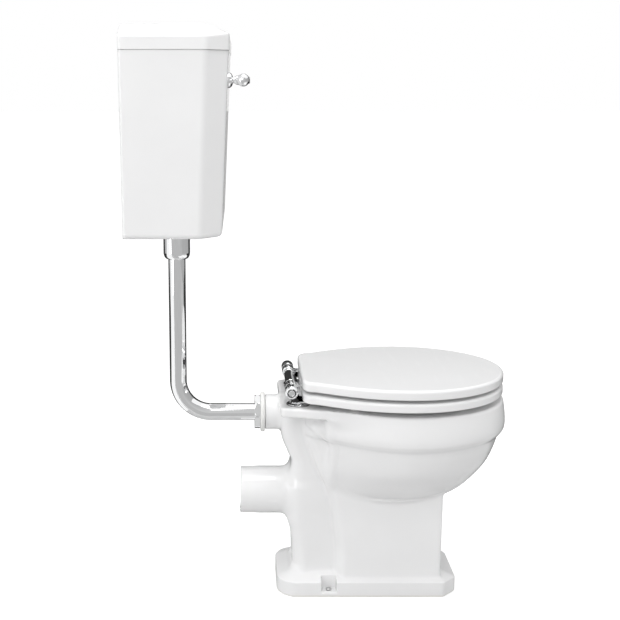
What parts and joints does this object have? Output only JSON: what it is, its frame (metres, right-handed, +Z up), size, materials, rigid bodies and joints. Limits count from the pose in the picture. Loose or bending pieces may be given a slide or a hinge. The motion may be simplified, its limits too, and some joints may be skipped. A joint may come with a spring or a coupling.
{
  "type": "low level toilet",
  "caption": "Wall-hung ceramic cistern with a front lever, joined by a bent chrome flush pipe to a floor-standing ceramic pan with a hinged seat, lid and horizontal outlet.",
  "frame": {"origin": "centre of the overall box on the floor", "axes": "+Z up; +X from the wall towards the front of the pan; the cistern's back plane and the wall are at the lowest X"},
  "size_m": [0.78, 0.501, 1.176],
  "materials": {
    "ceramic": "glossy white glaze",
    "seat_white": "satin white",
    "chrome": "bright plated",
    "steel": "plain",
    "brass": "dull, unplated",
    "rubber": "black",
    "collar_white": "soft white",
    "plastic": "white moulded"
  },
  "bodies": {
    "fixed": {"cistern_body": "ceramic", "cistern_union": "chrome", "fill_valve": "plastic", "fill_valve_back_nut": "plastic", "fill_valve_washer": "rubber", "float_pin": "brass", "floor_screw_far": "steel", "floor_screw_near": "steel", "flush_pipe": "chrome", "hinge_end_cap_far": "chrome", "hinge_end_cap_near": "chrome", "hinge_plug_far": "rubber", "hinge_plug_near": "rubber", "hinge_post_far": "chrome", "hinge_post_near": "chrome", "hinge_rod": "steel", "hinge_sleeve": "chrome", "hinge_stud_far": "steel", "hinge_stud_near": "steel", "lever_back_nut": "brass", "lever_bush": "chrome", "pan": "ceramic", "pan_inlet_collar": "collar_white", "pan_inlet_nut": "chrome", "siphon": "plastic", "siphon_back_nut": "plastic", "siphon_washer": "rubber", "union_cone": "rubber", "wall_screw_far": "steel", "wall_screw_near": "steel"},
    "ring": {"ring_buffer_back_far": "collar_white", "ring_buffer_back_near": "collar_white", "ring_buffer_front_far": "collar_white", "ring_buffer_front_near": "collar_white", "ring_hinge_far": "chrome", "ring_hinge_near": "chrome", "seat_ring": "seat_white"},
    "lid": {"lid_buffer_back_far": "collar_white", "lid_buffer_back_near": "collar_white", "lid_buffer_front_far": "collar_white", "lid_buffer_front_near": "collar_white", "lid_hinge_far": "chrome", "lid_hinge_near": "chrome", "seat_lid": "seat_white"},
    "lever": {"flush_lever": "chrome", "lever_crank": "brass"},
    "lift_rod": {"siphon_lift_rod": "plastic"},
    "float": {"float_arm": "brass", "float_ball": "plastic"},
    "cistern_lid": {"cistern_lid": "ceramic"}
  },
  "joints": [
    {"name": "ring_hinge_turn", "type": "hinge", "parent": "fixed", "child": "ring", "pos_m": [-0.067, 0, 0.4556], "axis": [0, 1, 0], "range_deg": [-103, 0]},
    {"name": "lid_hinge_turn", "type": "hinge", "parent": "ring", "child": "lid", "pos_m": [-0.067, 0, 0.4556], "axis": [0, -1, 0], "range_deg": [0, 103]},
    {"name": "lever_turn", "type": "hinge", "parent": "fixed", "child": "lever", "pos_m": [-0.1925, -0.14, 1.076], "axis": [1, 0, 0], "range_deg": [0, 35]},
    {"name": "lift_rod_slide", "type": "slide", "parent": "fixed", "child": "lift_rod", "axis": [0, 0, 1], "range_m": [0, 0.0356]},
    {"name": "float_turn", "type": "hinge", "parent": "fixed", "child": "float", "pos_m": [-0.28, 0.154, 1.034], "axis": [-1, 0, 0], "range_deg": [0, 43]},
    {"name": "lid_lift", "type": "slide", "parent": "fixed", "child": "cistern_lid", "axis": [0, 0, 1], "range_m": [0, 0.12]}
  ],
  "couplings": [
    {"joint": "lift_rod_slide", "follows": "lever_turn", "m_per_rad": 0.0582}
  ]
}
